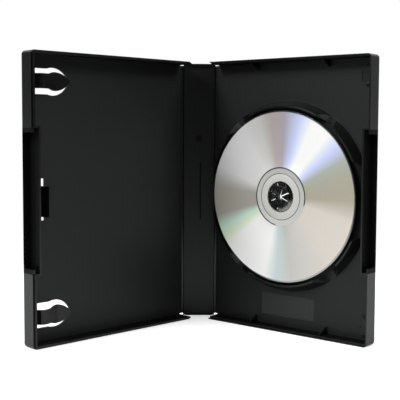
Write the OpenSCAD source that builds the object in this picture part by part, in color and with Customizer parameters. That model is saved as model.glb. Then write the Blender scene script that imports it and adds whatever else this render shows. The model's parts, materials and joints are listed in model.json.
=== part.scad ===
// Open keep case for one 120 mm disc: cover panel, spine and disc tray, hinged to each other.
// Millimetres, +Z up. The case stands on its bottom edges and opens towards -Y.

/* [Case] */
// Height of the case
case_h = 190; // [160:0.5:230]
// Width of a panel from its hinge line to its outer edge
panel_w = 136; // [132:0.5:160]
// Distance between the two hinge lines, the thickness of the closed case
spine_w = 25.6; // [22:0.2:34]
// Angle of the cover panel away from straight
cover_angle = 42.3; // [25:0.1:60]
// Angle of the tray panel away from straight
tray_angle = 40.3; // [25:0.1:60]
// Thickness of the side, top and bottom walls
wall_t = 2; // [1.6:0.1:2.6]
// Thickness of the panel floors
floor_t = 1.4; // [1.2:0.1:2]
// Radius of the outer back edges
edge_r = 2.5; // [2.2:0.1:4]
// Distance from a hinge line to the end of the top and bottom walls
wall_start = 3.2; // [3:0.1:5]

/* [Hinges] */
// Thickness of the thin hinge webs
web_t = 0.6; // [0.4:0.05:0.8]
// Distance from a hinge line to the full floor thickness
web_w = 2.4; // [1.8:0.1:2.8]
// Size of the bevels along both sides of the hinge grooves
groove_bevel = 0.6; // [0.2:0.1:0.8]
// Thickness of the spine plate
spine_t = 1.2; // [1:0.1:1.8]
// Distance the hinge webs stop short of the top and bottom edges
web_inset = 2.2; // [1:0.1:5]
// Height of the small flanges at the ends of the spine, from its outer face
flange_h = 2.6; // [1.6:0.1:2.7]
// Thickness of the flanges at the ends of the spine
flange_t = 1.5; // [1:0.1:3]
// Distance of the spine plate from the top and bottom edges
spine_end = 0.8; // [0.4:0.1:2]

/* [Rim] */
// Width of the ledge outside the cover lip
lip_ledge = 0.9; // [0.8:0.05:1.1]
// Height of the cover lip above the rim
lip_h = 1.5; // [0.8:0.1:2]
// Clearance between the cover lip and the skin of the tray rim
lip_gap = 0.2; // [0.2:0.05:0.4]
// Clearance below the lip when the case is closed
lip_under = 0.3; // [0.1:0.05:0.6]

/* [Thumb notch] */
// Height of the centre of the thumb notch
notch_z = 94.9; // [80:0.1:110]
// Length of the opening in the outer wall
notch_l = 87; // [60:1:95]
// Distance from the outer edge to the set back wall
notch_d = 5.2; // [4:0.1:7]
// Radius of the lower corners of the opening
notch_r = 2.5; // [1:0.1:4]
// Distance that the pocket runs on behind the outer wall at each end
pocket_reach = 2.9; // [1:0.1:5]
// Thickness of the set back wall round the pocket
pocket_t = 1.4; // [1:0.1:2]

/* [Booklet clips] */
// Distance of the clip centres from the top and bottom edges
clip_edge = 18.8; // [16:0.2:30]
// Half width of the clip arm
clip_half = 4.8; // [3:0.1:6]
// Height of the clip crest above the outer face
clip_top = 8.1; // [6:0.1:9]
// How much wider the pointed end of the clip is than its arm, on each side
clip_flare = 1.3; // [0.6:0.1:1.8]
// Half width of the window round the clip arm
window_half = 8.3; // [7.8:0.1:10]
// How much wider the pointed end of the window is than the rest, on each side
window_flare = 0.7; // [0.2:0.1:1.5]
// Distance from the outer edge to the widest part of the clip and its window
clip_reach = 23; // [22:0.2:25]

/* [Stop tab] */
// Height of the lower end of the slot
slot_z = 81.1; // [70:0.1:90]
// Length of the slot
slot_l = 27.4; // [22:0.1:40]
// Length of the stop tab
tab_l = 20.1; // [10:0.1:21]
// Height of the stop tab above the outer face
tab_h = 8.3; // [5:0.1:10]

/* [Disc] */
// Disc diameter
disc_d = 120; // [118:0.1:120.5]
// Disc thickness
disc_t = 1.2; // [1.1:0.05:1.5]
// Diameter of the centre hole
hole_d = 15; // [14.8:0.05:15.4]
// Distance from the hinge line to the disc centre
disc_u = 64; // [63.8:0.1:70]
// Height of the disc centre
disc_z = 94.3; // [85:0.1:105]
// Height of the underside of the disc above the outer face
disc_n = 7; // [6.8:0.1:7.6]

/* [Disc well] */
// Gap between the disc and the ridge round it
well_gap = 2; // [1:0.1:3]
// Width of the flat top of the ridge
ridge_top = 1.4; // [0.8:0.1:2]
// Radius of the foot of the ridge
ridge_foot = 67.3; // [65.5:0.1:68]
// Height of the ridge above the outer face
ridge_h = 8; // [5:0.1:9]
// Radius of the finger scoops in the ridge
scoop_r = 12; // [9:0.1:14]
// Angle of the finger scoops from the width direction
scoop_a = 54; // [45:1:58]
// Half length of the gap in the ridge beside the thumb notch
well_door = 25; // [15:0.5:30]

/* [Hub] */
// Radius of the disc seat
seat_r = 16; // [14:0.1:16.5]
// Width of the slots between the petals
petal_slot = 0.9; // [0.6:0.05:1.2]
// Clearance between the petals and the disc hole
petal_gap = 0.25; // [0.15:0.05:0.35]
// Reach of the petal lips over the disc
petal_lip = 0.25; // [0.15:0.05:0.28]
// Radius at which the petals bend
petal_pivot = 9.3; // [9.1:0.1:9.8]
// Thickness of the wall of the hub boss
hub_wall = 1.6; // [1.2:0.1:2.4]

/* [Gussets] */
// Distances of the top and bottom gussets from the hinge line
gusset_near = 39.5; // [20:0.5:60]
gusset_far = 98.5; // [80:0.5:115]
// Length of the top and bottom gussets along the floor
gusset_foot = 5; // [2:0.5:7]
// Thickness of the gussets
gusset_t = 1.2; // [0.8:0.1:2]
// Length of the side gussets along the floor
side_foot = 7.6; // [4:0.2:9]
// Height of the side gussets above the floor
side_h = 7; // [3:0.2:8]

/* [Small details] */
// Depth of the shallow panel recesses
recess_t = 0.4; // [0.2:0.05:0.6]
// Width and height of the label recess below the disc
label_w = 45; // [30:1:60]
label_h = 15.4; // [8:0.2:16]
// Height of its lower edge
label_z = 8.6; // [7:0.2:10]
// Height of the thin rib on the spine
spine_rib = 0.8; // [0.4:0.1:1.2]
// Length of the thin rib on the spine
rib_l = 43; // [20:1:60]
// Height of the lower end of the rib
rib_z = 73.4; // [60:0.2:90]
// Radius of the round ejector marks on the spine
mark_r = 2.6; // [1:0.1:4]
// Length of the thin groove in the cover floor
crease_l = 140; // [80:1:160]
// Distance of that groove from the hinge line
crease_u = 5.5; // [4.5:0.1:9]

/* [Hidden] */
$fn = 96;
e = 0.01;
half_d = spine_w / 2 - 0.1;
axis_n = web_t / 2;
cover_front = (panel_w - lip_ledge) * sin(cover_angle) + (half_d + lip_h - axis_n) * cos(cover_angle);
tray_front = panel_w * sin(tray_angle) + (half_d - axis_n) * cos(tray_angle);
cover_side = (panel_w - edge_r) * cos(cover_angle) - (edge_r - axis_n) * sin(cover_angle);
tray_side = (panel_w - edge_r) * cos(tray_angle) - (edge_r - axis_n) * sin(tray_angle);
axis_y = (max(cover_front, tray_front) - axis_n) / 2;
mid_x = (cover_side - tray_side) / 2;
inner_w = panel_w - wall_t;
notch_u = panel_w - notch_d;
ridge_in = disc_d / 2 + well_gap;
pocket_l = notch_l + 2 * pocket_reach;
rim_n = half_d - lip_h - lip_under;
past = 5;
petal_foot = 6.2;
bead_l = 6.2;
petal_n = disc_n - 0.6;
tip_n = disc_n + disc_t + 0.25;
// Piece to draw, or all of them

// Local panel frame: x runs from the hinge line to the outer edge, y from the outer face inwards.
module at_cover() {
  translate([mid_x - spine_w / 2, axis_y, 0])
    rotate([0, 0, 180 + cover_angle])
      translate([0, -axis_n, 0])
        children();
}

module at_tray() {
  translate([mid_x + spine_w / 2, axis_y, 0])
    rotate([0, 0, -tray_angle])
      mirror([0, 1, 0])
        translate([0, -axis_n, 0])
          children();
}

// Plan shape in width and height, given depth from n0 to n1.
module plan(n0, n1) {
  translate([0, n1, 0])
    rotate([90, 0, 0])
      linear_extrude(n1 - n0)
        children();
}

// Rectangle with four round corners.
module round_rect(x0, x1, y0, y1, r) {
  translate([x0 + r, y0])
    square([x1 - x0 - 2 * r, y1 - y0]);
  translate([x0, y0 + r])
    square([x1 - x0, y1 - y0 - 2 * r]);
  translate([x0 + r, y0 + r])
    circle(r);
  translate([x1 - r, y0 + r])
    circle(r);
  translate([x0 + r, y1 - r])
    circle(r);
  translate([x1 - r, y1 - r])
    circle(r);
}

// Rectangle whose two outer corners are round and whose hinge end is straight.
module end_rect(x0, x1, y0, y1, r) {
  translate([x0, y0])
    square([x1 - x0 - r, y1 - y0]);
  translate([x1 - 2 * r, y0 + r])
    square([2 * r, y1 - y0 - 2 * r]);
  translate([x1 - r, y0 + r])
    circle(r);
  translate([x1 - r, y1 - r])
    circle(r);
}

// Outside of a half case: straight walls, round outer back edges and corners.
module outer_block() {
  plan(edge_r, half_d)
    end_rect(wall_start, panel_w, 0, case_h, edge_r);
  translate([wall_start, 0, edge_r])
    cube([panel_w - edge_r - wall_start, edge_r + e, case_h - 2 * edge_r]);
  translate([panel_w - edge_r, edge_r, edge_r])
    cylinder(h = case_h - 2 * edge_r, r = edge_r);
  translate([wall_start, edge_r, edge_r])
    rotate([0, 90, 0])
      cylinder(h = panel_w - edge_r - wall_start, r = edge_r);
  translate([wall_start, edge_r, case_h - edge_r])
    rotate([0, 90, 0])
      cylinder(h = panel_w - edge_r - wall_start, r = edge_r);
  translate([panel_w - edge_r, edge_r, edge_r])
    sphere(edge_r);
  translate([panel_w - edge_r, edge_r, case_h - edge_r])
    sphere(edge_r);
}

// The thumb notch: a pocket behind the outer wall, and an opening through that wall.
module notch_cut() {
  plan(floor_t, half_d + past)
    translate([notch_u, notch_z - pocket_l / 2])
      square([inner_w - notch_u + e, pocket_l]);
  translate([inner_w - e, 0, notch_z])
    rotate([90, 0, 90])
      linear_extrude(wall_t + past)
        round_rect(floor_t, half_d + past, -notch_l / 2, notch_l / 2, notch_r);
}

// Inside of the walls, in width and height.
module inner_plan() {
  end_rect(-past, inner_w, wall_t, case_h - wall_t, 1);
}

// Room that the set back wall takes up, in width and height.
module pocket_plan(grow) {
  translate([notch_u - grow, notch_z - pocket_l / 2 - grow])
    square([inner_w - notch_u + grow, pocket_l + 2 * grow]);
}

// A half case: floor, three walls, the set back wall of the thumb notch and the hinge edge.
module half_shell() {
  difference() {
    union() {
      difference() {
        outer_block();
        plan(floor_t, half_d + past)
          inner_plan();
      }
      plan(floor_t - e, half_d)
        pocket_plan(pocket_t);
      translate([0, 0, web_inset])
        linear_extrude(case_h - 2 * web_inset)
          hinge_edge();
    }
    notch_cut();
  }
}

// Section of the thin web and of the bevelled floor edge beside it.
module hinge_edge() {
  bead = axis_n + 0.02;
  polygon([
    [bead, 0], [wall_start + e, 0], [wall_start + e, floor_t],
    [web_w, floor_t], [web_w - groove_bevel, web_t], [bead, web_t]
  ]);
}

// Pointed window and clip ends are the overlap of two circles, half a width past each centre.
module ogive(half, off) {
  translate([panel_w - clip_reach, 0])
    intersection() {
      translate([0, off])
        circle(half + off);
      translate([0, -off])
        circle(half + off);
    }
}

module clip_window() {
  window_end = 9.5;
  translate([panel_w - clip_reach + 2, -window_half])
    square([clip_reach - window_end - 2, 2 * window_half]);
  ogive(window_half + window_flare, 4);
}

// Side view of a clip: root on the floor, crest, valley and turned up end.
module clip_profile() {
  w = panel_w;
  t = clip_top;
  polygon([
    [w - 6, 0.9], [w - 3.8, 0.9], [w - 9.4, t - 0.8], [w - 11.4, t], [w - 13.7, t - 0.1],
    [w - 23.8, t - 4.2], [w - 29.8, t - 3.5], [w - 34.2, t - 2.5], [w - 34.2, t - 3.7],
    [w - 30, t - 4.8], [w - 24, t - 5.7], [w - 13.8, t - 1.5], [w - 12, t - 1.3], [w - 10.4, t - 1.9]
  ]);
}

module clip(z) {
  widest = clip_half + clip_flare;
  translate([0, 0, z])
    intersection() {
      translate([0, 0, -widest - 1])
        linear_extrude(2 * widest + 2)
          clip_profile();
      plan(0, clip_top + 1)
        union() {
          translate([panel_w - clip_reach + 3, -clip_half])
            square([clip_reach - past, 2 * clip_half]);
          ogive(widest, 6.3);
        }
    }
}

// The stop tab leans over one edge of its slot.
module stop_tab() {
  u = panel_w - 13;
  slot_margin = 2.4;
  translate([0, 0, slot_z + slot_margin])
    linear_extrude(tab_l)
      polygon([
        [u - 1.2, 0], [u + 1, 0], [u + 1, floor_t], [u, floor_t + 0.2],
        [u - 2.2, tab_h], [u - 3.4, tab_h], [u - 1.4, 1]
      ]);
}

// Raised lip of the cover rim, which stops short of the thumb notch.
module cover_lip() {
  difference() {
    plan(half_d - 0.5, half_d + lip_h)
      end_rect(wall_start, panel_w - lip_ledge, lip_ledge, case_h - lip_ledge, edge_r - lip_ledge);
    plan(half_d - 1, half_d + past)
      inner_plan();
    translate([notch_u, half_d - 1, notch_z - pocket_l / 2])
      cube([notch_d + 1, past, pocket_l]);
  }
}

module front_cover() {
  color([0.02, 0.02, 0.02])
    at_cover()
      union() {
        difference() {
          half_shell();
          for (z = [clip_edge, case_h - clip_edge])
            plan(-1, floor_t + 1)
              translate([0, z])
                clip_window();
          translate([panel_w - 16.1, -1, slot_z])
            cube([3.1, floor_t + 2, slot_l]);
          translate([crease_u - 0.4, floor_t - 0.25, (case_h - crease_l) / 2])
            cube([0.8, 1, crease_l]);
        }
        clip(clip_edge);
        clip(case_h - clip_edge);
        stop_tab();
        cover_lip();
      }
}

// Thin triangular gusset between the floor and the bottom wall, at width u.
module wall_gusset(u) {
  low = floor_t - 0.2;
  high = half_d - 1.8;
  wall = wall_t - 0.3;
  translate([u - gusset_t / 2, 0, 0])
    rotate([90, 0, 90])
      linear_extrude(gusset_t)
        polygon([[low, wall], [high, wall], [high, wall + 0.6], [low, wall_t + gusset_foot]]);
}

module side_gusset(z) {
  low = floor_t - 0.2;
  wall = inner_w + 0.3;
  translate([0, 0, z - gusset_t / 2])
    linear_extrude(gusset_t)
      polygon([
        [wall, low], [wall, floor_t + side_h],
        [inner_w - 1, floor_t + side_h], [inner_w - side_foot, low]
      ]);
}

// Hub of the tray: hollow boss, disc seat and the eight bead edges the petals bend on.
module hub_seat() {
  translate([disc_u, 0, disc_z])
    rotate([-90, 0, 0])
      rotate_extrude()
        polygon([
          [seat_r - hub_wall, 0], [seat_r + 0.8, 0], [seat_r, disc_n], [petal_pivot + 0.45, disc_n],
          [petal_pivot + 0.45, disc_n - 1.2], [seat_r - hub_wall, disc_n - 1.2]
        ]);
  for (i = [0 : 7])
    translate([disc_u, petal_n, disc_z])
      rotate([0, -45 * i, 0])
        union() {
          translate([petal_pivot, 0, -bead_l / 2])
            cylinder(h = bead_l, r = web_t / 2);
          translate([petal_pivot, -web_t / 2, -bead_l / 2])
            cube([1.1, web_t, bead_l]);
        }
}

// Ridge round the disc: sloping outside, four finger scoops, and a gap beside the thumb notch.
module ridge() {
  floor_skin = 0.1;
  door_in = 0.76 * disc_d / 2 + 10;
  door_out = disc_d / 2 + 2.5;
  translate([disc_u, 0, disc_z])
    difference() {
      rotate([-90, 0, 0])
        rotate_extrude($fn = 180)
          polygon([
            [ridge_in, floor_t - 0.3], [ridge_foot + 0.2, floor_t - 0.3], [ridge_foot, floor_t],
            [ridge_in + ridge_top, ridge_h], [ridge_in, ridge_h]
          ]);
      for (a = [scoop_a, 180 - scoop_a, 180 + scoop_a, 360 - scoop_a])
        rotate([0, a, 0])
          translate([ridge_in - past, floor_t + floor_skin + scoop_r, 0])
            rotate([0, 90, 0])
              cylinder(h = 4 * past, r = scoop_r);
      plan(floor_t + floor_skin, ridge_h + 1)
        polygon([
          [door_in, -well_door - 2], [door_out, -well_door + 2], [door_out + 20, -well_door + 2],
          [door_out + 20, well_door - 2], [door_out, well_door - 2], [door_in, well_door + 2]
        ]);
    }
}

// Rebate round the tray rim, for the lip of the cover, and the lowered rim of the set back wall.
module rim_rebate() {
  plan(rim_n, half_d + past)
    difference() {
      end_rect(
        -past, panel_w - lip_ledge + lip_gap, lip_ledge - lip_gap,
        case_h - lip_ledge + lip_gap, edge_r - lip_ledge + lip_gap
      );
      end_rect(-past - 1, inner_w - e, wall_t + e, case_h - wall_t - e, 1);
    }
  plan(rim_n, half_d + past)
    pocket_plan(pocket_t + 1);
}

module disc_tray() {
  dot_z = 10.4;
  stack_z = 172.3;
  stack_h = 7.3;
  color([0.02, 0.02, 0.02])
    at_tray()
      difference() {
        union() {
          difference() {
            half_shell();
            plan(floor_t - recess_t, floor_t + 1)
              translate([disc_u - label_w / 2 + 2, label_z])
                round_rect(0, label_w, 0, label_h, 2);
            plan(floor_t - recess_t, floor_t + 1)
              round_rect(panel_w - 12.8, panel_w - 6, stack_z, stack_z + stack_h, 0.8);
            translate([panel_w - 10.2, floor_t - recess_t, dot_z])
              rotate([-90, 0, 0])
                cylinder(h = 3, r = 0.8);
          }
          intersection() {
            ridge();
            translate([wall_start + 0.4, 0, 0])
              cube([notch_u - pocket_t / 2 - wall_start - 0.4, ridge_h + 1, case_h]);
          }
          hub_seat();
          for (u = [gusset_near, gusset_far]) {
            wall_gusset(u);
            translate([0, 0, case_h])
              mirror([0, 0, 1])
                wall_gusset(u);
          }
          for (z = [4.8, 17.9, case_h - 6.7, case_h - 19.6])
            side_gusset(z);
        }
        translate([disc_u, -1, disc_z])
          rotate([-90, 0, 0])
            cylinder(h = disc_n - 0.2, r = seat_r - hub_wall);
        rim_rebate();
      }
}

// Section of the spine plate, with bevels along both hinge grooves.
module spine_section() {
  edge = spine_w / 2 - 1;
  polygon([
    [-edge, 0], [edge, 0], [edge, -web_t], [edge - groove_bevel, -spine_t],
    [groove_bevel - edge, -spine_t], [-edge, -web_t]
  ]);
}

module spine() {
  flange_w = spine_w - 5.6;
  color([0.02, 0.02, 0.02])
    translate([mid_x, axis_y + axis_n, 0])
      difference() {
        union() {
          translate([0, 0, spine_end])
            linear_extrude(case_h - 2 * spine_end)
              spine_section();
          translate([-spine_w / 2, -web_t, web_inset])
            cube([spine_w, web_t, case_h - 2 * web_inset]);
          for (x = [-spine_w / 2, spine_w / 2])
            translate([x, -axis_n, web_inset])
              cylinder(h = case_h - 2 * web_inset, r = axis_n);
          for (z = [spine_end, case_h - spine_end - flange_t])
            translate([-flange_w / 2, -flange_h, z])
              cube([flange_w, flange_h, flange_t]);
          translate([0.6, -spine_t - spine_rib, rib_z])
            cube([0.8, spine_rib + e, rib_l]);
        }
        for (p = [[-0.4, 134.4], [-1.4, 55.2]])
          translate([p[0], -spine_t - 1, p[1]])
            rotate([-90, 0, 0])
              cylinder(h = 1.2, r = mark_r);
      }
}

module disc() {
  color([0.75, 0.76, 0.78])
    at_tray()
      translate([disc_u, disc_n, disc_z])
        rotate([-90, 0, 0])
          rotate_extrude($fn = 180)
            polygon([
              [hole_d / 2, 0.05], [hole_d / 2 + 0.05, 0], [disc_d / 2 - 0.15, 0], [disc_d / 2, 0.15],
              [disc_d / 2, disc_t - 0.15], [disc_d / 2 - 0.15, disc_t],
              [hole_d / 2 + 0.05, disc_t], [hole_d / 2, disc_t - 0.05]
            ]);
}

// One springy petal of the hub: root plate, upright wall, lip over the disc and inward finger.
module petal(i) {
  r = hole_d / 2;
  n = disc_n;
  end_u = petal_pivot - web_t / 2 - 0.02;
  tip_u = petal_slot / 2 / sin(22.5);
  color([0.02, 0.02, 0.02])
    at_tray()
      translate([disc_u, 0, disc_z])
        rotate([0, -45 * (i - 1), 0])
          intersection() {
            rotate([-90, 0, 0])
              rotate_extrude()
                polygon([
                  [1.4, tip_n - 0.35], [5.6, tip_n - 0.5], [petal_foot, tip_n - 1.1], [petal_foot, n - 1],
                  [petal_pivot + 1, n - 1], [petal_pivot + 1, n - 0.2], [r - petal_gap, n - 0.2],
                  [r - petal_gap, tip_n], [r + petal_lip, tip_n], [r + petal_lip, tip_n + 0.4],
                  [r - 0.15, tip_n + 0.9], [6.3, tip_n + 1.05], [1.4, tip_n + 0.45]
                ]);
            plan(0, 12)
              polygon([
                [tip_u, 0], [end_u, (end_u - tip_u) * tan(22.5)],
                [end_u, (tip_u - end_u) * tan(22.5)]
              ]);
          }
}

module hub_petal_1() {
  petal(1);
}

module hub_petal_2() {
  petal(2);
}

module hub_petal_3() {
  petal(3);
}

module hub_petal_4() {
  petal(4);
}

module hub_petal_5() {
  petal(5);
}

module hub_petal_6() {
  petal(6);
}

module hub_petal_7() {
  petal(7);
}

module hub_petal_8() {
  petal(8);
}

disc_tray();
front_cover();
spine();
disc();
hub_petal_1();
hub_petal_2();
hub_petal_3();
hub_petal_4();
hub_petal_5();
hub_petal_6();
hub_petal_7();
hub_petal_8();
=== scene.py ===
"""An open black keep case, with one disc clipped to its hub, on a pale studio table."""
import json
import math

import bmesh
import bpy
from mathutils import Matrix, Vector


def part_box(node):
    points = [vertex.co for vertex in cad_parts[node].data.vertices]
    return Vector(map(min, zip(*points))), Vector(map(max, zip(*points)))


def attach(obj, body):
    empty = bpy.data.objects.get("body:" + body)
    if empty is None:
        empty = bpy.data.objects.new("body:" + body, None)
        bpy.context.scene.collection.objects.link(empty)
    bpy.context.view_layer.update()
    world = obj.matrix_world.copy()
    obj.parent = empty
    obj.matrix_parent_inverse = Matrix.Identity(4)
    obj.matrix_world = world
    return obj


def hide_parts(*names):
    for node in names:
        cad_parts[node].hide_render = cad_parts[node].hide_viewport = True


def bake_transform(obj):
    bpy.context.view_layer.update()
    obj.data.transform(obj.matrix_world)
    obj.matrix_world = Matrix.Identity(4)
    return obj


# The moulded case comes in as packed: cover, spine and tray, with the disc and the hub's petals.
# Everything below takes its place from the two hinge lines and from the disc's own box.
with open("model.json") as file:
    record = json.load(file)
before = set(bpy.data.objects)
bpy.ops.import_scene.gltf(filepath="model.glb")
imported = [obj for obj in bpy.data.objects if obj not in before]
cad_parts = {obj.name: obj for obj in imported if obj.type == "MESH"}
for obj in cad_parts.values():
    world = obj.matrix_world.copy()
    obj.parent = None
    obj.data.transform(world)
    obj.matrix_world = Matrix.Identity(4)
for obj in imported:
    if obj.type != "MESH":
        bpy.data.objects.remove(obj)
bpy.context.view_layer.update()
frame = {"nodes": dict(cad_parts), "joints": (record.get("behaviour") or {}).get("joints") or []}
MM = 0.001
hinges = {joint["name"]: joint for joint in frame["joints"]}
cover_axis = Vector(hinges["cover_hinge"]["pos_m"])
tray_axis = Vector(hinges["tray_hinge"]["pos_m"])
cover_open = math.radians(-hinges["cover_hinge"]["range_deg"][0])
tray_open = math.radians(-hinges["tray_hinge"]["range_deg"][0])
case_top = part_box("disc_tray")[1][2]

# The camera stands a little above the middle of the case and looks slightly down and to the right.
# Its lens and shift give the photograph's framing of 400 by 400 pixels.
picture = 400
focal = 853.5
centre_column = 227.0
centre_row = 188.3
stand = Vector((-0.00133, -0.63894, 0.14168))
look_down = math.radians(4.016)
look_right = math.radians(2.0)
roll = math.radians(0.364)


def placed(name, data):
    """A new object in the scene, at the origin."""
    made = bpy.data.objects.new(name, data)
    bpy.context.collection.objects.link(made)
    return made


eye = bpy.data.cameras.new("camera")
eye.sensor_width = 36
eye.lens = focal * eye.sensor_width / picture
eye.shift_x = (picture / 2 - centre_column) / picture
eye.shift_y = (centre_row - picture / 2) / picture
camera = placed("camera", eye)
hinge_middle = (cover_axis + tray_axis) / 2
tripod = Matrix.Translation(stand + Vector((hinge_middle.x, hinge_middle.y, 0)))
look = Matrix.Rotation(-look_right, 4, "Z") @ Matrix.Rotation(math.pi / 2 - look_down, 4, "X")
camera.matrix_world = tripod @ look @ Matrix.Rotation(roll, 4, "Z")
bpy.context.scene.camera = camera
bpy.context.scene.view_settings.view_transform = "Standard"

# The table is a wide pale sheet, matt white, with the soft shadow of the case round its foot.
# Further off the camera sees it plain white, so that table and background run into each other.
table_half = 3.0
table_front = 0.3
table_white = (0.8, 0.8, 0.8, 1)
table_lift = 0.48
near_edge = 0.16
far_edge = 0.42
plain_white = (1, 1, 1, 1)


class Wire:
    """One output of a shader node: arithmetic on it adds Math nodes, and node() adds any other."""

    def __init__(self, tree, socket=None):
        self.tree = tree
        self.socket = socket

    def node(self, kind, settings=None, inputs=None, out=0):
        """A new node, with its settings, the values or wires of its inputs, and one output chosen."""
        made = self.tree.nodes.new(kind)
        for name, value in (settings or {}).items():
            if name == "stops":
                ramp = made.color_ramp
                while len(ramp.elements) < len(value):
                    ramp.elements.new(0.5)
                for stop, (place, colour) in zip(ramp.elements, value):
                    stop.position = place
                    stop.color = (*colour, 1)
            else:
                setattr(made, name, value)
        for name, value in (inputs or {}).items():
            if isinstance(value, Wire):
                self.tree.links.new(value.socket, made.inputs[name])
            else:
                made.inputs[name].default_value = value
        return Wire(self.tree, made.outputs[out] if made.outputs else None)

    def maths(self, operation, a, b=0.0):
        return self.node("ShaderNodeMath", {"operation": operation}, {0: a, 1: b})

    def __add__(self, other):
        return self.maths("ADD", self, other)

    def __sub__(self, other):
        return self.maths("SUBTRACT", self, other)

    def __rsub__(self, other):
        return self.maths("SUBTRACT", other, self)

    def __mul__(self, other):
        return self.maths("MULTIPLY", self, other)

    def __truediv__(self, other):
        return self.maths("DIVIDE", self, other)

    __radd__ = __add__
    __rmul__ = __mul__

    def larger(self, other):
        """The larger of two numbers."""
        return self.maths("MAXIMUM", self, other)

    def step(self, low, high):
        """0 below low and 1 above high, smooth in between."""
        smooth = {"interpolation_type": "SMOOTHSTEP"}
        return self.node("ShaderNodeMapRange", smooth, {0: self, 1: low, 2: high})

    def band(self, low, high, soft):
        """1 between low and high, and 0 outside, with soft edges."""
        return self.step(low - soft, low + soft) * (1 - self.step(high - soft, high + soft))

    def part(self, letter):
        """The X, Y or Z of a vector."""
        return self.node("ShaderNodeSeparateXYZ", inputs={0: self}, out=letter)

    def minus(self, place):
        """A vector seen from a place."""
        return self.node("ShaderNodeVectorMath", {"operation": "SUBTRACT"}, {0: self, 1: place})

    def along(self, way):
        """How far a vector reaches along a way of length 1."""
        dot = {"operation": "DOT_PRODUCT"}
        return self.node("ShaderNodeVectorMath", dot, {0: self, 1: way}, out="Value")

    def blend(self, first, second):
        """The first colour where this is 0 and the second where it is 1: a Mix node's sockets 6 and 7."""
        return self.node("ShaderNodeMix", {"data_type": "RGBA"}, {0: self, 6: first, 7: second}, out=2)


def new_paint(name):
    """An empty material, and the wire that its nodes start from."""
    paint = bpy.data.materials.new(name)
    paint.use_nodes = True
    paint.node_tree.nodes.clear()
    return paint, Wire(paint.node_tree)


table_mesh = bpy.data.meshes.new("table")
table_corners = [
    (-table_half, -table_front, 0), (table_half, -table_front, 0),
    (table_half, table_half, 0), (-table_half, table_half, 0),
]
table_mesh.from_pydata(table_corners, [], [(0, 1, 2, 3)])
table = placed("table", table_mesh)
table_paint, wire = new_paint("table_white")
camera_ray = wire.node("ShaderNodeLightPath", out="Is Camera Ray")
spot = wire.node("ShaderNodeTexCoord", out="Object")
distance = wire.node("ShaderNodeVectorMath", {"operation": "LENGTH"}, {0: spot}, out="Value")
matt = wire.node("ShaderNodeBsdfDiffuse", inputs={"Color": table_white})
lift = wire.node("ShaderNodeEmission", inputs={"Color": plain_white, "Strength": camera_ray * table_lift})
lifted = wire.node("ShaderNodeAddShader", inputs={0: matt, 1: lift})
plain = wire.node("ShaderNodeEmission", inputs={"Color": plain_white, "Strength": 1.0})
far = camera_ray * distance.step(near_edge, far_edge)
sheet = wire.node("ShaderNodeMixShader", inputs={0: far, 1: lifted, 2: plain})
wire.node("ShaderNodeOutputMaterial", inputs={"Surface": sheet})
table_mesh.materials.append(table_paint)

# The studio has a white backdrop, a grey wall on the left, a dim one on the right and a dark camera side.
# Black plastic shows little but reflections, so the room's brightness by direction is what shapes it.
# Turns run round the case: 0 towards the camera, a quarter to the right and three quarters to the left.
walls = [
    (0.0, 0.01), (0.08, 0.03), (0.17, 0.1), (0.24, 0.1), (0.27, 0.16), (0.31, 0.16),
    (0.36, 0.9), (0.5, 1.0), (0.62, 0.9),
    (0.68, 0.06), (0.73, 0.06), (0.765, 0.3), (0.85, 0.3), (0.93, 0.03), (1.0, 0.01),
]
ceiling = 0.8
ceiling_start = 0.35
ceiling_full = 0.8
backdrop_start = 0.3
backdrop_full = 0.7
world = bpy.data.worlds.new("studio")
bpy.context.scene.world = world
world.use_nodes = True
world.node_tree.nodes.clear()
wire = Wire(world.node_tree)
way = wire.node("ShaderNodeTexCoord", out="Generated")
bearing = wire.maths("ARCTAN2", way.part("X"), 0 - way.part("Y")) / (2 * math.pi)
bearing = wire.maths("FRACT", bearing + 1.0)
wall_stops = [(turns, (level,) * 3) for turns, level in walls]
room = wire.node("ShaderNodeValToRGB", {"stops": wall_stops}, {0: bearing})
wall_level = wire.node("ShaderNodeSeparateColor", inputs={0: room}, out="Red")
overhead = way.part("Z").step(ceiling_start, ceiling_full)
room_level = wall_level * (1 - overhead) + overhead * ceiling
camera_ray = wire.node("ShaderNodeLightPath", out="Is Camera Ray")
glossy_ray = wire.node("ShaderNodeLightPath", out="Is Glossy Ray")
clear_ray = wire.node("ShaderNodeLightPath", out="Is Transmission Ray")
backdrop = way.part("Y").step(backdrop_start, backdrop_full)
seen = camera_ray.larger((glossy_ray * backdrop).larger(clear_ray))
strength = seen + (1 - seen) * room_level
sky = wire.node("ShaderNodeBackground", inputs={"Color": plain_white, "Strength": strength})
wire.node("ShaderNodeOutputWorld", inputs={"Surface": sky})


def soft_box(name, place, aim, side, watts):
    """A square area lamp at place that faces aim."""
    lamp = bpy.data.lights.new(name, "AREA")
    lamp.size = side
    lamp.energy = watts
    facing = (Vector(aim) - Vector(place)).to_track_quat("-Z", "Y").to_matrix().to_4x4()
    placed(name, lamp).matrix_world = Matrix.Translation(place) @ facing


soft_box("soft_box_top", place=(-0.1, -0.1, 1.5), aim=(0, 0.05, 0), side=1.2, watts=3)
soft_box("soft_box_left", place=(-1.7, -0.95, 1.75), aim=(0, 0, 0.1), side=0.9, watts=50)
soft_box("soft_box_right", place=(1.7, -0.95, 1.75), aim=(0, 0, 0.1), side=0.9, watts=27)

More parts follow.
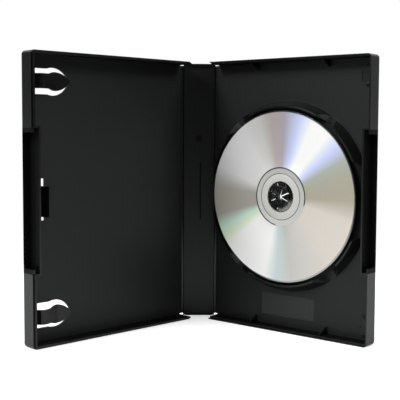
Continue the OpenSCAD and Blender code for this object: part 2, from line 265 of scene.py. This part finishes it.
# The case is one injection moulding in black polypropylene: cover, spine, tray and hub petals.
# Its outside and floors come satin from the polished mould. The inner sides of the walls, which draw
# out of the mould at a steep angle, and the pocket of the thumb notch are left dull, and their darker
# base colour is painted shade, standing in for the shade along the walls and in the pocket.
wall_t = 2.0
floor_t = 1.4
rim_n = 12.7
panel_w = 136.0
hinge_n = 0.3
pocket_u = 130.7
pocket_n = 0.9
pocket_heights = (48.4, 141.4)
label_us = (43.5, 88.5)
label_heights = (8.6, 24.0)
mask_soft = 0.1
label_soft = 0.15
wall_skin = 0.3
floor_skin = (-0.4, 0.2)
inside_gap = (0.25, -0.05)
case_black = (0.0048, 0.0054, 0.0051, 1)
case_worn = (0.0066, 0.0074, 0.0070, 1)
# The dull black is painted shade: darker than the satin black, for the inner wall sides and the notch
# pocket.
case_dull_shaded = (0.0016, 0.0018, 0.0017, 1)
case_etched = (0.0170, 0.0184, 0.0177, 1)
case_tint = (0.90, 1.0, 0.95, 1)
plastic_ior = 1.49
panel_polish = 0.21
spine_polish = 0.13
cloud_polish = 0.06
floor_polish = 0.24
dull_and_shaded_share = 0.93


def case_plastic(name, axis, along, inward, panel):
    """Black plastic for the cover or the tray, or for the spine where panel is None.

    Places are in mm: u from the hinge line, n up from the outer face, and height from the table.
    """
    paint, wire = new_paint(name)
    here = wire.node("ShaderNodeTexCoord", out="Object")
    local = here.minus(axis)
    u = local.along(along) / MM
    n = local.along(inward) / MM + hinge_n
    height = here.part("Z") / MM
    top = case_top / MM

    before_wall = 1 - u.step(panel_w - wall_t - 2 * mask_soft, panel_w - wall_t + 2 * mask_soft)
    floor = n.band(floor_t + floor_skin[0], floor_t + floor_skin[1], mask_soft) * before_wall
    rim = rim_n + inside_gap[1]
    inside = n.band(floor_t + inside_gap[0], rim, mask_soft)
    low_wall = height.band(wall_t - wall_skin, wall_t + wall_skin, mask_soft)
    high_wall = height.band(top - wall_t - wall_skin, top - wall_t + wall_skin, mask_soft)
    # This mask gives a dull finish and also places the painted shade, along the walls and in the notch
    # pocket.
    dull_and_shaded = inside * low_wall.larger(high_wall) * before_wall
    if panel:
        pocket = height.band(*pocket_heights, mask_soft) * u.step(pocket_u - mask_soft, pocket_u)
        dull_and_shaded = dull_and_shaded.larger(pocket * n.band(pocket_n, rim, mask_soft))

    cloud = wire.node("ShaderNodeTexNoise", inputs={"Vector": here, "Scale": 22.0, "Detail": 3.0})
    grain = wire.node("ShaderNodeTexNoise", inputs={"Vector": here, "Scale": 2600.0, "Detail": 2.0})
    shade = cloud.blend(case_black, case_worn)
    if panel == "tray":
        recess = u.band(*label_us, label_soft) * height.band(*label_heights, label_soft)
        shade = recess.blend(shade, case_etched)
    base_polish = panel_polish if panel else spine_polish
    polish = base_polish + cloud * cloud_polish + floor * floor_polish
    edge = wire.node("ShaderNodeBevel", {"samples": 6}, {"Radius": 0.25 * MM})
    bump = wire.node("ShaderNodeBump", inputs={
        "Strength": 0.25, "Distance": 0.02 * MM, "Height": grain, "Normal": edge,
    })
    satin = wire.node("ShaderNodeBsdfPrincipled", inputs={
        "Base Color": shade, "Roughness": polish, "IOR": plastic_ior, "Specular IOR Level": 0.36,
        "Specular Tint": case_tint, "Normal": bump,
    })
    # The dull plastic's darker base colour is painted shade.
    matt = wire.node("ShaderNodeBsdfPrincipled", inputs={
        "Base Color": case_dull_shaded, "Roughness": 0.6, "IOR": plastic_ior, "Specular IOR Level": 0.06,
        "Normal": bump,
    })
    surface = wire.node("ShaderNodeMixShader", inputs={0: dull_and_shaded * dull_and_shaded_share, 1: satin, 2: matt})
    wire.node("ShaderNodeOutputMaterial", inputs={"Surface": surface})
    return paint


spine_along = Vector((1, 0, 0))
spine_inward = Vector((0, -1, 0))
upwards = Vector((0, 0, 1))
cover_along = Vector((-math.cos(cover_open), -math.sin(cover_open), 0))
cover_inward = Vector((math.sin(cover_open), -math.cos(cover_open), 0))
tray_along = Vector((math.cos(tray_open), -math.sin(tray_open), 0))
tray_inward = Vector((-math.sin(tray_open), -math.cos(tray_open), 0))
plastics = {
    "cover": case_plastic("case_black_cover", cover_axis, cover_along, cover_inward, "cover"),
    "tray": case_plastic("case_black_tray", tray_axis, tray_along, tray_inward, "tray"),
    "spine": case_plastic("case_black_spine", cover_axis, spine_along, spine_inward, None),
}
for name, piece in frame["nodes"].items():
    if name != "disc":
        moulding = {"front_cover": "cover", "spine": "spine"}.get(name, "tray")
        piece.data.materials.clear()
        piece.data.materials.append(plastics[moulding])

# Thin hinge webs of the same plastic run down both edges of the spine.
# Each is a flexible strip moulded in one with the panels, which bends as the case opens and shuts; here it
# is built once, bent through the hinge's full opening.
web_thick = 0.66 * MM
web_reach = 1.3 * MM
web_inset = 2.3 * MM
web_steps = 16


def write_outwards(shape, mesh):
    """Turns the faces of a closed bmesh outwards, writes it to the mesh and frees it."""
    bmesh.ops.recalc_face_normals(shape, faces=shape.faces[:])
    shape.to_mesh(mesh)
    shape.free()


def hinge_web(name, axis, opened, side):
    """A bent strip across one hinge line; side is -1 for the cover and 1 for the tray."""
    shape = bmesh.new()
    rows = []
    heights = (web_inset, case_top - web_inset)
    bend_radius = 2 * web_reach / opened
    bend_start = Vector((axis.x - side * bend_radius * math.tan(opened / 2), axis.y, 0))
    for k in range(web_steps + 1):
        bend = opened * k / web_steps
        middle = bend_start + bend_radius * Vector((side * math.sin(bend), math.cos(bend) - 1, 0))
        half = Vector((side * math.sin(bend), math.cos(bend), 0)) * web_thick / 2
        ends = [(offset, height) for offset in (half, -half) for height in heights]
        rows.append([shape.verts.new(middle + offset + upwards * height) for offset, height in ends])
    for a, b in zip(rows, rows[1:]):
        for i, j in ((0, 1), (1, 3), (3, 2), (2, 0)):
            shape.faces.new((a[i], a[j], b[j], b[i]))
    shape.faces.new(rows[0])
    shape.faces.new(rows[-1])
    mesh = bpy.data.meshes.new(name)
    write_outwards(shape, mesh)
    mesh.materials.append(plastics["spine"])
    strip = placed(name, mesh)
    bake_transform(strip)


hinge_web("cover_web", cover_axis, cover_open, -1)
hinge_web("tray_web", tray_axis, tray_open, 1)

# Under the petals stands the hub's inner tube, moulded with the tray and held to the boss by four ribs.
# It stiffens the boss, and through the slots between the petals its far side shows as plain black.
tube_middle_r = 6.05
tube_wall = 0.9
tube_low = 0.3
tube_high = 5.2
rib_count = 4
rib_out = 14.5
rib_wall = 1.0
rib_rise = 3.4
tube_facets = 96
merge_gap = 0.01 * MM
disc_low, disc_high = (Vector(corner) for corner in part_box("disc"))
disc_middle = (disc_low + disc_high) / 2
disc_n = (disc_middle - tray_axis).dot(tray_inward) / MM + hinge_n


def named_tree(name, sizes):
    """A geometry tree with named number inputs, and the wires from its input node."""
    tree = bpy.data.node_groups.new(name, "GeometryNodeTree")
    tree.interface.new_socket("Geometry", in_out="OUTPUT", socket_type="NodeSocketGeometry")
    entry = tree.nodes.new("NodeGroupInput")
    for label, value in sizes.items():
        kind = "NodeSocketInt" if isinstance(value, int) else "NodeSocketFloat"
        tree.interface.new_socket(label, in_out="INPUT", socket_type=kind)
    return tree, {label: Wire(tree, entry.outputs[label]) for label in sizes}


def grown_mesh(tree, sizes, name):
    """The plain mesh that a tree makes with these sizes, in mm."""
    holder = placed(name, bpy.data.meshes.new(name))
    modifier = holder.modifiers.new(name, "NODES")
    modifier.node_group = tree
    for item in tree.interface.items_tree:
        if item.in_out == "INPUT":
            modifier[item.identifier] = sizes[item.name]
    grown = holder.evaluated_get(bpy.context.evaluated_depsgraph_get())
    made = bpy.data.meshes.new_from_object(grown)
    bpy.data.objects.remove(holder)
    return made


tube_sizes = {
    "Tube radius": tube_middle_r, "Tube wall": tube_wall, "Tube height": tube_high - tube_low,
    "Ribs": rib_count, "Rib end": rib_out, "Rib wall": rib_wall, "Rib height": rib_rise,
}
tree, size = named_tree("hub_tube", tube_sizes)
wire = Wire(tree)
path = wire.node("GeometryNodeCurvePrimitiveCircle", inputs={
    "Resolution": tube_facets, "Radius": size["Tube radius"],
})
section = wire.node("GeometryNodeCurvePrimitiveQuadrilateral", inputs={
    "Width": size["Tube wall"], "Height": size["Tube height"],
})
tube = wire.node("GeometryNodeCurveToMesh", inputs={"Curve": path, "Profile Curve": section})
reach = size["Rib end"] - size["Tube radius"]
rib_size = wire.node("ShaderNodeCombineXYZ", inputs={
    "X": reach, "Y": size["Rib wall"], "Z": size["Rib height"],
})
rib = wire.node("GeometryNodeMeshCube", inputs={"Size": rib_size})
rib_middles = wire.node("GeometryNodeMeshCircle", inputs={
    "Vertices": size["Ribs"], "Radius": size["Tube radius"] + reach / 2,
})
which = wire.node("GeometryNodeInputIndex")
spin = wire.node("ShaderNodeCombineXYZ", inputs={"Z": which / size["Ribs"] * (2 * math.pi)})
ribs = wire.node("GeometryNodeInstanceOnPoints", inputs={
    "Points": rib_middles, "Instance": rib, "Rotation": spin,
})
drop = wire.node("ShaderNodeCombineXYZ", inputs={"Z": (size["Rib height"] - size["Tube height"]) / 2})
low_ribs = wire.node("GeometryNodeTransform", inputs={"Geometry": ribs, "Translation": drop})
joined = wire.node("GeometryNodeJoinGeometry", inputs={0: tube})
tree.links.new(low_ribs.socket, joined.socket.node.inputs[0])
real = wire.node("GeometryNodeRealizeInstances", inputs={0: joined})
painted = wire.node("GeometryNodeSetMaterial", inputs={"Geometry": real, "Material": plastics["tray"]})
wire.node("NodeGroupOutput", inputs={0: painted})
tube_mesh = grown_mesh(tree, tube_sizes, "hub_tube")
tube_foot = disc_middle - tray_inward * disc_n * MM
for vertex in tube_mesh.vertices:
    x, y, z = vertex.co
    lifted_z = z + (tube_low + tube_high) / 2
    vertex.co = tube_foot + (tray_along * x + upwards * y + tray_inward * lifted_z) * MM
shape = bmesh.new()
shape.from_mesh(tube_mesh)
bmesh.ops.remove_doubles(shape, verts=shape.verts[:], dist=merge_gap)
write_outwards(shape, tube_mesh)
hub_tube = placed("hub_tube", tube_mesh)
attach(hub_tube, "tray")

# The disc is two clear polycarbonate halves round a silver layer, 120 mm across and 1.2 mm thick.
# It is pressed over the hub's petals, with its shiny side out, and rests on the hub's seat.
hole_r = 7.5
clear_r = 10.9
ring_r = 16.25
stack_r = 20.3
silver_r = 59.2
edge_r = 60.0
half_t = 0.6
ring_rise = 0.12
ring_foot = 0.35
ring_top = 0.1
hole_bevel = (0.08, 0.05)
edge_bevel = (0.2, 0.15)
flat_rings = (30.0, 40.0, 50.0)
disc_facets = 256


def moulded_ring(r, rise):
    """Profile points of a fine ridge or groove round the disc."""
    feet = (-ring_foot, 0), (-ring_top, rise), (ring_top, rise), (ring_foot, 0)
    return [(r + out, half_t + up) for out, up in feet]


# Radius and height above the middle of the disc, from the hole round to the underside.
# The rings on the flat keep the moulded rings from bending the shading of the whole face.
disc_profile = [
    (hole_r, hole_bevel[1] - half_t), (hole_r, half_t - hole_bevel[1]), (hole_r + hole_bevel[0], half_t),
    (clear_r, half_t), *moulded_ring(ring_r, -ring_rise), *moulded_ring(stack_r, ring_rise),
    *[(r, half_t) for r in flat_rings], (silver_r, half_t), (edge_r - edge_bevel[0], half_t),
    (edge_r, half_t - edge_bevel[1]), (edge_r, edge_bevel[1] - half_t), (edge_r - edge_bevel[0], -half_t),
    (silver_r, -half_t), (flat_rings[1], -half_t), (stack_r, -half_t), (clear_r, -half_t),
    (hole_r + hole_bevel[0], -half_t),
]
shape = bmesh.new()
rings = []
for k in range(disc_facets):
    angle = 2 * math.pi * k / disc_facets
    spoke = tray_along * math.cos(angle) + upwards * math.sin(angle)
    places = [disc_middle + (spoke * r + tray_inward * h) * MM for r, h in disc_profile]
    rings.append([shape.verts.new(place) for place in places])
for a, b in zip(rings, rings[1:] + rings[:1]):
    for i in range(len(disc_profile)):
        j = (i + 1) % len(disc_profile)
        (r_i, h_i), (r_j, h_j) = disc_profile[i], disc_profile[j]
        face = shape.faces.new((a[i], a[j], b[j], b[i]))
        face.smooth = h_i == h_j
        see_through = (r_i + r_j) / 2 < clear_r or (r_i + r_j) / 2 > silver_r
        face.material_index = 1 if see_through else 0 if h_i > 0 else 2
disc_mesh = bpy.data.meshes.new("disc_face")
write_outwards(shape, disc_mesh)
disc = placed("disc_face", disc_mesh)


def polar(wire):
    """Angle in turns from the width direction, 0 to 1, and radius in mm, round the disc's own centre."""
    local = wire.node("ShaderNodeTexCoord", out="Object").minus(disc_middle)
    x = local.along(tray_along)
    y = local.along(upwards)
    angle = wire.maths("FRACT", wire.maths("ARCTAN2", y, x) / (2 * math.pi) + 1.0)
    return angle, wire.maths("SQRT", x * x + y * y) / MM


def light_value(red, green, blue):
    """The linear colour of a screen colour of 0 to 255."""
    return tuple(((v / 255 + 0.055) / 1.055) ** 2.4 for v in (red, green, blue))


# The silver's colour is a painted sheen, set by angle: two white beams lie across it, each with coloured
# fringes where the data tracks split white light, and the rest is painted grey or tan as a reflection of
# the room's pale or dim side. Degrees turn from the width direction.
tan = (172, 166, 148)
pale_tan = (214, 207, 198)
olive_grey = (172, 170, 154)
sage_grey = (172, 180, 170)
rose_grey = (183, 172, 170)
soft_grey = (205, 205, 201)
silver_grey = (217, 218, 217)
dim_grey = (172, 168, 158)
stone_grey = (196, 197, 193)
white = (255, 255, 253)
ice_blue = (205, 216, 255)
sea_grey = (203, 217, 217)
mint = (208, 240, 220)
lime = (232, 246, 214)
lilac = (174, 168, 177)
# The painted sheen: a colour for each angle round the disc.
painted_sheen = [
    (0, tan), (17, olive_grey), (28, sage_grey), (38, ice_blue), (49, white), (63, white), (74, ice_blue),
    (87, lilac), (99, rose_grey), (110, soft_grey), (125, silver_grey), (160, silver_grey), (175, dim_grey),
    (196, dim_grey), (206, mint), (213, lime), (220, white), (256, white), (267, sea_grey),
    (280, stone_grey), (320, pale_tan), (346, pale_tan), (360, tan),
]
hub_ring_pale = (0.57, 0.58, 0.55, 1)
hub_ring_grey = (0.53, 0.53, 0.51, 1)
line_black = (0.006, 0.006, 0.006, 1)
# Where the painted shade lies on the disc: its upper side towards the spine, and how dark it is.
far_radii = (26, 56)
far_turns = (0.24, 0.38)
far_shade = 0.1
lower_right_turns = (0.72, 0.96)
line_soft = 0.12
# The painted shade lines over the stacking ridge and the moulded groove.
stack_half = 0.45
stack_shade_depth = 0.98
mould_shade_depth = 0.8
rim_dark = 0.5
silver, wire = new_paint("disc_silver")
angle, radius = polar(wire)
painted_sheen_stops = [(degrees / 360, light_value(*colour)) for degrees, colour in painted_sheen]
# Painted sheen: the ramp paints highlights and reflections into the base colour.
painted_sheen_and_shade = wire.node("ShaderNodeValToRGB", {"stops": painted_sheen_stops}, {0: angle})
# Painted shade: the upper side towards the spine is darkened a little, where the case's walls shade the
# disc.
far_side_painted_shade = radius.step(*far_radii) * angle.band(*far_turns, 0.05) * far_shade
painted_sheen_and_shade = far_side_painted_shade.blend(painted_sheen_and_shade, (0, 0, 0, 1))
hub_ring = radius.step(ring_r - 0.05, ring_r + ring_foot).blend(hub_ring_pale, hub_ring_grey)
face = radius.step(stack_r - 0.2, stack_r + 0.5).blend(hub_ring, painted_sheen_and_shade)
# Painted shade: dark lines over the stacking ridge and the moulded groove stand in for the shade of these
# rings. The stacking ridge's line is left off low on the right, where it catches the light. The silver also
# turns dark just inside its edge.
lower_right = angle.band(*lower_right_turns, 0.01)
stack_painted_shade = radius.band(stack_r - stack_half, stack_r + stack_half, line_soft)
stack_painted_shade = stack_painted_shade * (1 - lower_right) * stack_shade_depth
mould_painted_shade = radius.band(ring_r - 0.3, ring_r + 0.25, line_soft) * mould_shade_depth
rim_line = radius.step(silver_r - 0.5, silver_r - 0.2) * rim_dark
face = stack_painted_shade.larger(mould_painted_shade).larger(rim_line).blend(face, line_black)
metal = radius.step(stack_r, stack_r + 0.5) * 0.1
surface = wire.node("ShaderNodeBsdfPrincipled", inputs={
    "Base Color": face, "Metallic": metal, "Roughness": 0.35,
})
wire.node("ShaderNodeOutputMaterial", inputs={"Surface": surface})

# Inside the silver and at the very edge the disc is clear, and the black hub shows through it.
# Low on the right its moulded rings and its edge carry a painted highlight: a paler colour, shown more
# opaquely in rippled rings.
clear_dark = (0.03, 0.03, 0.03, 1)
clear_highlight_colour = (0.5, 0.51, 0.48, 1)
highlight_turns = (0.72, 0.95)
rim_radii = (58, 59)
ripple_rate = 6.5
clear, wire = new_paint("disc_clear")
angle, radius = polar(wire)
# The painted highlight's place: low on the right of the disc.
painted_highlight = angle.band(*highlight_turns, 0.05)
ripple = wire.maths("SINE", radius * ripple_rate) * 0.5 + 0.5
cover_up = 0.12 + painted_highlight * ripple * 0.45 + radius.step(*rim_radii) * (0.35 + painted_highlight * 0.3)
surface = wire.node("ShaderNodeBsdfPrincipled", inputs={
    "Base Color": painted_highlight.blend(clear_dark, clear_highlight_colour), "Roughness": 0.08, "Alpha": cover_up, "IOR": 1.58,
})
wire.node("ShaderNodeOutputMaterial", inputs={"Surface": surface})

# The side that lies on the seat is silver too, with fine turned rings.
underside_silver = (0.62, 0.63, 0.64, 1)
turned_rate = 9.0
underside, wire = new_paint("disc_underside")
angle, radius = polar(wire)
turned = wire.maths("SINE", radius * turned_rate) * 0.02
surface = wire.node("ShaderNodeBsdfPrincipled", inputs={
    "Base Color": underside_silver, "Metallic": 0.6, "Roughness": 0.42 + turned,
})
wire.node("ShaderNodeOutputMaterial", inputs={"Surface": surface})
for paint in (silver, clear, underside):
    disc_mesh.materials.append(paint)
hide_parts("disc")
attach(disc, "tray")
